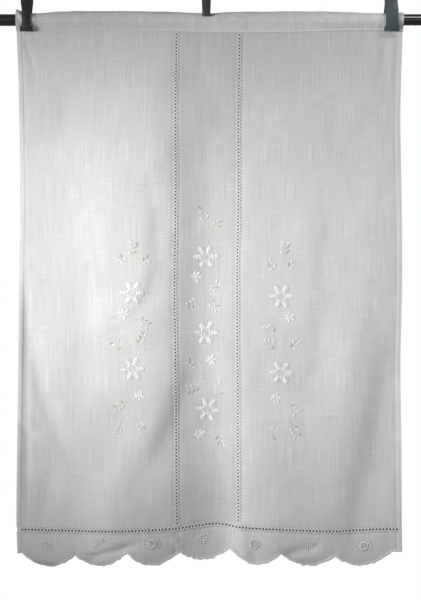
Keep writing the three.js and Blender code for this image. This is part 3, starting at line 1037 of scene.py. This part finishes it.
# stitches side by side across an oval, with its length along the angle
def satinOval(x, down, angle, length, width, chance, arch=satinLook["arch"]):
    count = max(int(length / satinLook["pitch"]), 2)
    lean = satinLook["lean"]
    threads = []
    for i in range(count):
        if chance.uniform() < satinLook["missed"]:
            continue
        t = (i + 0.5) / count * 2 - 1
        half = width / 2 * math.sqrt(1 - satinLook["taper"] * t * t) * chance.uniform(0.8, 1.12)
        slip = chance.uniform(-satinLook["slip"], satinLook["slip"])
        start = turned(x, down, angle, t * length / 2 - lean, slip - half)
        end = turned(x, down, angle, t * length / 2 + lean, slip + half)
        threads.append((*start, *end, satinLook["radius"], satinLook["lift"], arch, 0))
    return threads


# a line of short overlapping stitches through some places
def stemLine(places, radius, tone=0):
    overlap = stemLook["overlap"]
    threads = []
    for (x1, down1), (x2, down2) in zip(places, places[1:]):
        count = max(round(math.hypot(x2 - x1, down2 - down1) / stemLook["pitch"]), 1)
        for i in range(count):
            s, t = (i - overlap) / count, (i + 1 + overlap) / count
            start = (x1 + (x2 - x1) * s, down1 + (down2 - down1) * s)
            end = (x1 + (x2 - x1) * t, down1 + (down2 - down1) * t)
            threads.append((*start, *end, radius, stemLook["lift"], stemLook["arch"], tone))
    return threads


# a straight stem line between two places in a motif's own turned millimetres
def bar(row, start, end, radius, tone=0):
    ends = [turned(row["x"], row["down"], row["turn"], *place) for place in (start, end)]
    return stemLine(ends, radius, tone)


def arcPlaces(x, down, radius, fromAngle, toAngle, count):
    angles = [fromAngle + (toAngle - fromAngle) * i / count for i in range(count + 1)]
    return [turned(x, down, angle, radius) for angle in angles]


# one satin lobe of a flower or blossom
def lobe(row, look, angle, chance):
    at = turned(row["x"], row["down"], angle, look["lobeAt"] + chance.uniform(-0.6, 0.6))
    size = chance.uniform(*look["sizes"])
    return satinOval(*at, angle, look["lobeLength"] * size, look["lobeWidth"] * size, chance)


# six satin lobes, each ringed by a thin outline in the painted-shade thread that is partly a real outline
# and partly painted shadow; a satin ring; and a net of white lines one way and lines of painted shade the
# other way, standing in for the shade of its holes
def flower(row, chance):
    look = flowerLook
    x, down, turn = row["x"], row["down"], row["turn"]
    threads = []
    for angle in look["lobes"]:
        angle = turn + angle + chance.uniform(-4, 4)
        threads += lobe(row, flowerLook, angle, chance)
        middle, rimTurn = turned(x, down, angle, look["rimAt"]), look["rimTurn"]
        outline = arcPlaces(*middle, look["rim"], angle - rimTurn, angle + rimTurn, 9)
        threads += stemLine(outline, look["rimThread"], 1)
    ring, half = look["ring"], look["ringWidth"] / 2
    for i in range(look["ringStitches"]):
        angle = turn + 360 * i / look["ringStitches"] + chance.uniform(-4, 4)
        inner = turned(x, down, angle - 6, ring - half * chance.uniform(0.6, 1))
        outer = turned(x, down, angle + 6, ring + half * chance.uniform(0.5, 1.5))
        threads.append((*inner, *outer, look["ringThread"], satinLook["lift"], 0.2, 0))
    for at in look["lattice"]:
        half = math.sqrt(look["disc"] ** 2 - at**2)
        threads += bar(row, (at, -half), (at, half), look["whiteBar"])
        threads += bar(row, (-half, at), (half, at), look["paintedShadeBar"], 1)
    return threads


def blossom(row, chance):
    threads = []
    for i in range(blossomLook["lobes"]):
        angle = row["turn"] + 360 * i / blossomLook["lobes"] + chance.uniform(-9, 9)
        threads += lobe(row, blossomLook, angle, chance)
    middle = blossomLook["middle"]
    return threads + satinOval(row["x"], row["down"], row["turn"], middle, middle, chance)


# a slender leaf of long stitches that fan a little, white ones slimmer than the ones in painted shade
def leaf(x, down, angle, length, tone, chance):
    radius, arch = 0.45 + 0.08 * tone, 0.35 - 0.15 * tone
    threads = []
    for aside in (-0.3, 0.3):
        start = turned(x, down, angle, 0.15, aside)
        reach = length * chance.uniform(0.88, 1.04)
        end = turned(x, down, angle + aside * 20 / 3, reach, aside * sprayLook["leafWidth"])
        threads.append((*start, *end, radius, satinLook["lift"], arch, tone))
    return threads


# separate leaves to both sides of a thin stem, some of them missing: the leaves on one side are white, and
# most on the other side take a painted shade, as does the stem
def spray(row, chance):
    look = sprayLook
    turn, size = row["turn"], row["size"]
    reach, stray = look["stem"] / 2 * size, look["stray"]
    threads = bar(row, (-reach, 0), (reach, 0), look["stemThread"], 1)
    whiteSide = chance.choice((-1, 1))
    for step in (-1, 0, 1):
        joint = turned(row["x"], row["down"], turn, step * look["apart"] * size)
        for side in (-1, 1):
            if chance.uniform() < look["missing"]:
                continue
            angle = turn + side * (look["spread"] + chance.uniform(-stray, stray))
            length = look["leaf"] * size * chance.uniform(0.75, 1.1)
            tone = 0 if side == whiteSide or chance.uniform() < look["white"] else 1
            foot = turned(*joint, angle, chance.uniform(1, 2.4))
            threads += leaf(*foot, angle, length, tone, chance)
    return threads


motifMakers = {"flower": flower, "blossom": blossom, "spray": spray}

# thin stems that lead from motif to motif down each panel
stemRuns = table(
    "panel places",
    ("left", [(-119.7, 371), (-121, 390), (-119.7, 405)]),
    ("left", [(-107, 447), (-103, 468), (-108, 490), (-116, 520)]),
    ("left", [(-122, 565), (-118, 590), (-122, 616), (-120, 640)]),
    ("centre", [(-6, 312), (0, 330), (-4, 348)]),
    ("centre", [(-4, 392), (4, 414), (1, 440), (-5, 464)]),
    ("centre", [(-8, 508), (-16, 530), (-12, 556), (-4, 584)]),
    ("centre", [(0, 628), (2, 646), (12, 660)]),
    ("right", [(112, 370), (108, 390), (110, 408)]),
    ("right", [(100, 452), (96, 478), (100, 504), (108, 526)]),
    ("right", [(112, 572), (118, 598), (112, 622), (114, 642)]),
)


def makeEmbroidery(panel, seed):
    chance = np.random.default_rng(seed)
    threads = []
    for row in motifs:
        if row["panel"] == panel:
            threads += motifMakers[row["kind"]](row, chance)
    for run in stemRuns:
        if run["panel"] == panel:
            threads += stemLine(run["places"], 0.2)
    return sew(f"embroidery_{panel}", bothFaces(threads))


embroidery = {panel: makeEmbroidery(panel, 60 + i) for i, panel in enumerate(panels)}
print("flowers embroidered")

# scalloped edge and the small motifs of the border

edging = {
    "from": -298, "to": 298.5, "pitch": 1.15, "reach": 3.6, "past": 1, "radius": 0.55, "lift": 0.3,
    "arch": 0.35, "rim": 0.5, "slopeStep": 0.4,
}

borderMotifs = table(
    "kind x down turn",
    ("sprig", -255.5, 815.7, -70),
    ("dashes", -174, 811, -35),
    ("ring", -89.7, 813.4, 0),
    ("ladder", -11.7, 809, 90),
    ("netRing", 69, 813.4, 0),
    ("dashes", 154.3, 817.7, -30),
    ("ring", 239.3, 817.7, 20),
)


# buttonhole stitches square to the scalloped edge, with a beaded rim
def edgeStitches():
    look = edging
    chance = np.random.default_rng(91)
    x, threads, places = look["from"], [], []
    while x < look["to"]:
        step = look["slopeStep"]
        slope = float(scallopEdge(x + step) - scallopEdge(x - step)) / step / 2
        length = math.hypot(1, slope)
        down = float(scallopEdge(x))
        reach = look["reach"] * chance.uniform(0.6, 1.3)
        past = chance.uniform(-0.1, look["past"])
        inner = (x + slope / length * reach, down - reach / length)
        outer = (x - slope / length * past, down + past / length)
        threads.append((*outer, *inner, look["radius"], look["lift"], look["arch"], 0))
        places.append((x, down))
        x += look["pitch"] / length
    for start, end in zip(places, places[1:]):
        if math.dist(start, end) < 3:
            threads.append((start[0] - 0.3, start[1], end[0] + 0.3, end[1], look["rim"], 0.05, 0, 0))
    return threads


ringLook = {"ring": 5.6, "netRing": 6.4, "across": (-2.2, 0, 2.2), "lobes": (150, 180, 210, -30, 0, 30)}


# a round net in a satin ring, with a painted shade line inside the ring, a painted shadow arc outside it
# and beside each white line of the net, and lobes to both sides if it is plain, each with a painted shadow
# arc past it
def ringMotif(row, chance):
    x, down, turn, size = row["x"], row["down"], row["turn"], ringLook[row["kind"]]
    threads = stemLine(arcPlaces(x, down, size - 2, 0, 360, 10), 0.65, 1)
    threads += stemLine(arcPlaces(x, down, size + 2.4, -40, 140, 7), 0.55, 1)
    for angle in range(0, 360, 15):
        inner = turned(x, down, turn + angle, size - 1.2)
        outer = turned(x, down, turn + angle + 8, size + chance.uniform(0.5, 2))
        threads.append((*inner, *outer, 0.75, 0.4, 0.5, 0))
    for at in ringLook["across"]:
        threads += bar(row, (at, -3.4), (at, 3.4), 0.55)
        threads += bar(row, (at + 1.1, -3), (at + 1.1, 3), 0.5, 1)
    for angle in ringLook["lobes"] if row["kind"] == "ring" else ():
        threads += satinOval(*turned(x, down, angle, size + 4.4), angle, 3.6, 2.6, chance, 0.5)
        threads += stemLine(arcPlaces(x, down, size + 6.8, angle - 9, angle + 9, 2), 0.5, 1)
    return threads


# four rungs of slanting stitches, each with a painted shadow line just under it
def ladderMotif(row, chance):
    threads = []
    for at, reach in ((-6.4, 4), (-2.6, 8), (1.4, 8.6), (5.2, 4.6)):
        for side in (-1, 1):
            tip = (at - chance.uniform(0, 2.4), side * reach)
            threads += bar(row, (at, side), tip, 0.8)
            threads += bar({**row, "down": row["down"] + 1.8}, (at, side), tip, 0.65, 1)
    return threads


# slanting satin dashes, each with a painted shadow line beside it
def dashesMotif(row, chance):
    x, down, turn = row["x"], row["down"], row["turn"]
    threads = []
    for at in (-7.6, -3.8, 0, 3.8, 7.6):
        threads += satinOval(*turned(x, down, turn, at, 1.5), turn - 60, 8, 2, chance, 0.5)
        threads += bar(row, (at + 1.9, 5.4), (at + 1.9, -3), 0.6, 1)
        threads += satinOval(*turned(x, down, turn, at + 1, -4.4), turn - 30, 3.4, 2, chance)
    return threads


# an arc of stem stitches with a painted shadow arc inside it, and satin lobes round it, each with a painted
# shadow beside it
def sprigMotif(row, chance):
    x, down, turn = row["x"], row["down"], row["turn"]
    threads = stemLine(arcPlaces(x, down, 6, turn - 80, turn + 100, 6), 0.7)
    threads += stemLine(arcPlaces(x, down, 4.3, turn - 80, turn + 100, 6), 0.65, 1)
    for angle in (-70, -30, 10, 50, 90, 160, 200):
        at = turned(x, down, turn + angle, 8.6)
        threads += satinOval(*at, turn + angle - 25, 5, 2.6, chance, 0.5)
        threads += stemLine(arcPlaces(x, down, 8.6, turn + angle + 14, turn + angle + 24, 1), 0.65, 1)
    return threads


borderMakers = {
    "ring": ringMotif,
    "netRing": ringMotif,
    "ladder": ladderMotif,
    "dashes": dashesMotif,
    "sprig": sprigMotif,
}


def makeBorderWork():
    chance = np.random.default_rng(92)
    stitches = [stitch for row in borderMotifs for stitch in borderMakers[row["kind"]](row, chance)]
    return sew("border_edging", bothFaces(edgeStitches())), sew("border_motifs", bothFaces(stitches))


borderEdging, borderSprigs = makeBorderWork()
print("border edged")

# plain sewing: the seam under the rod pocket and the side hems

seamStitch = {"reach": 296, "pitch": 3, "above": 1.6, "length": 2.3, "radius": 0.17, "lift": 1.75}
hemStitch = {
    "from": 24, "to": 820, "pitch": 5.5, "inside": 0.2, "slant": 0.7, "length": 1.8, "radius": 0.16
}


def makeSeamStitches():
    threads = []
    for x in np.arange(-seamStitch["reach"], seamStitch["reach"], seamStitch["pitch"]):
        down = float(seamLine(x)) - seamStitch["above"]
        end = (x + seamStitch["length"], down)
        threads.append((x, down, *end, seamStitch["radius"], seamStitch["lift"], 0.05, 0))
    return sew("heading_stitches", bothFaces(threads), "fine")


def makeHemStitches():
    threads = []
    for down in np.arange(hemStitch["from"], hemStitch["to"], hemStitch["pitch"]):
        for edge, side in ((leftEdge, 1), (rightEdge, -1)):
            x = float(edge(down)) + side * (drape["hem"] - hemStitch["inside"])
            end = (x + side * hemStitch["slant"], down + hemStitch["length"])
            threads.append((x, down, *end, hemStitch["radius"], 0.3, 0.1, 0))
    return sew("hem_stitches", bothFaces(threads), "fine")


headingStitches = makeSeamStitches()
hemStitches = makeHemStitches()
print("seam and hems sewn")

# spring clips

clipLook = {
    "bevel": 0.6, "pivotHeight": 28, "top": 60,
    # an arm's inner face in front of the rod's axis, at the pivot and at the top
    "armAt": 5.5, "armAtTop": 13, "armThick": 3,
    "ribs": 4, "ribFrom": 41, "ribStep": 4.2, "ribHeight": 0.7, "ribInset": 1.5,
    # the coil is this much shorter than its clip is wide
    "wire": 0.65, "coil": 4.8, "coilTurns": 5, "coilSteps": 20, "coilShort": 3,
    "pin": 1.7, "pinPast": 0.4, "legAside": 5.6, "legFrom": 4.2, "legTo": 9.6, "legTop": 50,
}

clipPlans = table(
    "name x shaft color rubbed",
    ("left", -284.5, 12.8, (0.021, 0.028, 0.027), (0.06, 0.07, 0.068)),
    ("centre", -5.7, 12.6, (0.055, 0.06, 0.062), (0.12, 0.125, 0.13)),
    ("right", 281.5, 19.4, (0.075, 0.105, 0.107), (0.15, 0.18, 0.19)),
)


# a merged copy of one CAD solid, its long edges rounded
def bevelledCopy(node, offset):
    bm = bmesh.new()
    bm.from_mesh(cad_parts[node].data)
    bmesh.ops.remove_doubles(bm, verts=bm.verts, dist=1e-5)
    bmesh.ops.dissolve_limit(bm, angle_limit=0.03, verts=bm.verts, edges=bm.edges)
    crisp = [edge for edge in bm.edges if edge.calc_face_angle(0) > 0.5]
    bmesh.ops.bevel(
        bm, geom=crisp, offset=offset / 1000, segments=2, profile=0.5, affect="EDGES", material=-1,
        clamp_overlap=True,
    )
    return bm


# a round bar between two places in millimetres
def addBar(bm, start, end, radius, sides=12):
    start, end, radius = Vector(start) / 1000, Vector(end) / 1000, radius / 1000
    turn = (end - start).to_track_quat("Z", "Y").to_matrix().to_4x4()
    place = Matrix.Translation((start + end) / 2) @ turn
    bmesh.ops.create_cone(
        bm, cap_ends=True, segments=sides, radius1=radius, radius2=radius, depth=(end - start).length,
        matrix=place,
    )


def makeArm(plan, side, material):
    look = clipLook
    node = f"clip_{plan['name']}_{side}_arm"
    bm = bevelledCopy(node, look["bevel"])
    facing = -1 if side == "front" else 1
    lean = (look["armAtTop"] - look["armAt"]) / (look["top"] - look["pivotHeight"])
    for i in range(look["ribs"]):
        height = look["ribFrom"] + look["ribStep"] * i
        reach = look["armAt"] + lean * (height - look["pivotHeight"]) + look["armThick"]
        half = plan["shaft"] / 2 - look["ribInset"]
        ends = [(plan["x"] + way * half, facing * (reach + 0.1), height) for way in (-1, 1)]
        addBar(bm, *ends, look["ribHeight"], 10)
    keepCrisp(bm, 35)
    return newPiece(f"{node}_shell", newMesh(f"{node}_shell", bm), [material], [node])


# the coil is a wire circle spun round the pivot pin, moved aside a little at each step
def makeSpring(plan):
    look = clipLook
    node = f"clip_{plan['name']}_spring"
    bm = bmesh.new()
    middle, pivot, turns = plan["x"], look["pivotHeight"], look["coilTurns"]
    wire = look["wire"]
    width = (plan["shaft"] - look["coilShort"]) / 1000
    steps = look["coilSteps"] * turns
    circle = bmesh.ops.create_circle(bm, segments=8, radius=wire / 1000)["verts"]
    start = Vector((middle / 1000 - width / 2, (wire - look["coil"]) / 1000, pivot / 1000))
    bmesh.ops.translate(bm, verts=circle, vec=start)
    bmesh.ops.spin(
        bm, geom=circle + bm.edges[:], cent=(0, 0, pivot / 1000), axis=(1, 0, 0),
        dvec=(width / steps, 0, 0), angle=2 * math.pi * turns, steps=steps, use_duplicate=False,
    )
    bmesh.ops.holes_fill(bm, edges=[edge for edge in bm.edges if edge.is_boundary], sides=0)
    half = plan["shaft"] / 2 + look["pinPast"]
    addBar(bm, (middle - half, 0, pivot), (middle + half, 0, pivot), look["pin"], 16)
    for side in (-1, 1):
        x = middle + look["legAside"] * side
        tip = (x, side * look["legTo"], look["legTop"])
        addBar(bm, (x, side * look["legFrom"], pivot), tip, wire, 8)
    bmesh.ops.recalc_face_normals(bm, faces=bm.faces)
    keepCrisp(bm, 40)
    return newPiece(f"{node}_coil", newMesh(f"{node}_coil", bm), [springSteel()], [node])


for plan in clipPlans:
    plastic = clipPlastic(f"clip_plastic_{plan['name']}", plan["color"], plan["rubbed"])
    for side in ("front", "back"):
        makeArm(plan, side, plastic)
    makeSpring(plan)
print("clips fitted")
# stage, light and camera

view = {"distance": 2.072, "aside": 0.0008, "height": -0.435, "lens": 80}


def makeCamera():
    camera = newObject("camera", bpy.data.cameras.new("camera"))
    camera.data.lens = view["lens"]
    camera.data.sensor_width = 36
    camera.location = (view["aside"], -view["distance"], view["height"])
    camera.rotation_euler = (math.pi / 2, 0, 0)
    bpy.context.scene.camera = camera


lights = table(
    "name at aim size power spread",
    ("window", (-1.21, -0.83, -0.2), (0.1, 0, -0.44), (0.65, 0.55), 3.5, 48),
    ("right_fill", (1.1, -1.5, -0.2), (0.25, 0, -0.22), (0.8, 0.5), 0.15, 50),
    ("top_fill", (0.75, -0.6, 0.75), (0.36, 0, 0.03), (0.2, 0.2), 0.075, 22),
    ("back_fill", (0.9, 1.5, -0.45), (0, 0, -0.45), (1, 0.8), 4.2, 64),
)
worldLook = {"seen": 1.0, "cast": 0.18}
floorLook = {"color": (0.86, 0.86, 0.86), "size": 1.2, "height": -1.2}


def makeLight(plan):
    data = bpy.data.lights.new(plan["name"], "AREA")
    data.shape = "RECTANGLE"
    data.size, data.size_y = plan["size"]
    data.energy = plan["power"]
    data.spread = math.radians(plan["spread"])
    lamp = newObject(plan["name"], data)
    lamp.location = plan["at"]
    lamp.rotation_euler = (Vector(plan["aim"]) - Vector(plan["at"])).to_track_quat("-Z", "Y").to_euler()
    lamp.visible_camera = False


# white where it is seen past the object, and a soft fill light elsewhere
def makeWorld():
    world = bpy.data.worlds.new("studio")
    world.use_nodes = True
    tree = world.node_tree
    background = tree.nodes["Background"]
    background.inputs["Color"].default_value = (1, 1, 1, 1)
    seen = newNode(tree, "LightPath").outputs["Is Camera Ray"]
    strength = spread(tree, seen, 0, 1, worldLook["cast"], worldLook["seen"])
    tree.links.new(strength, background.inputs["Strength"])
    bpy.context.scene.world = world
    bpy.context.scene.view_settings.view_transform = "Standard"


def makeFloor():
    material, tree, shader = newMaterial("pale_floor", Roughness=0.9)
    tint(tree, shader, floorLook["color"], speckles(tree, 3, 0.98, 1.02))
    bm = bmesh.new()
    bmesh.ops.create_grid(bm, x_segments=2, y_segments=2, size=floorLook["size"])
    bmesh.ops.translate(bm, verts=bm.verts, vec=(0, 0, floorLook["height"]))
    floor = newObject("floor", newMesh("floor", bm))
    floor.data.materials.append(material)


makeCamera()
for plan in lights:
    makeLight(plan)
makeWorld()
makeFloor()
print("studio set")
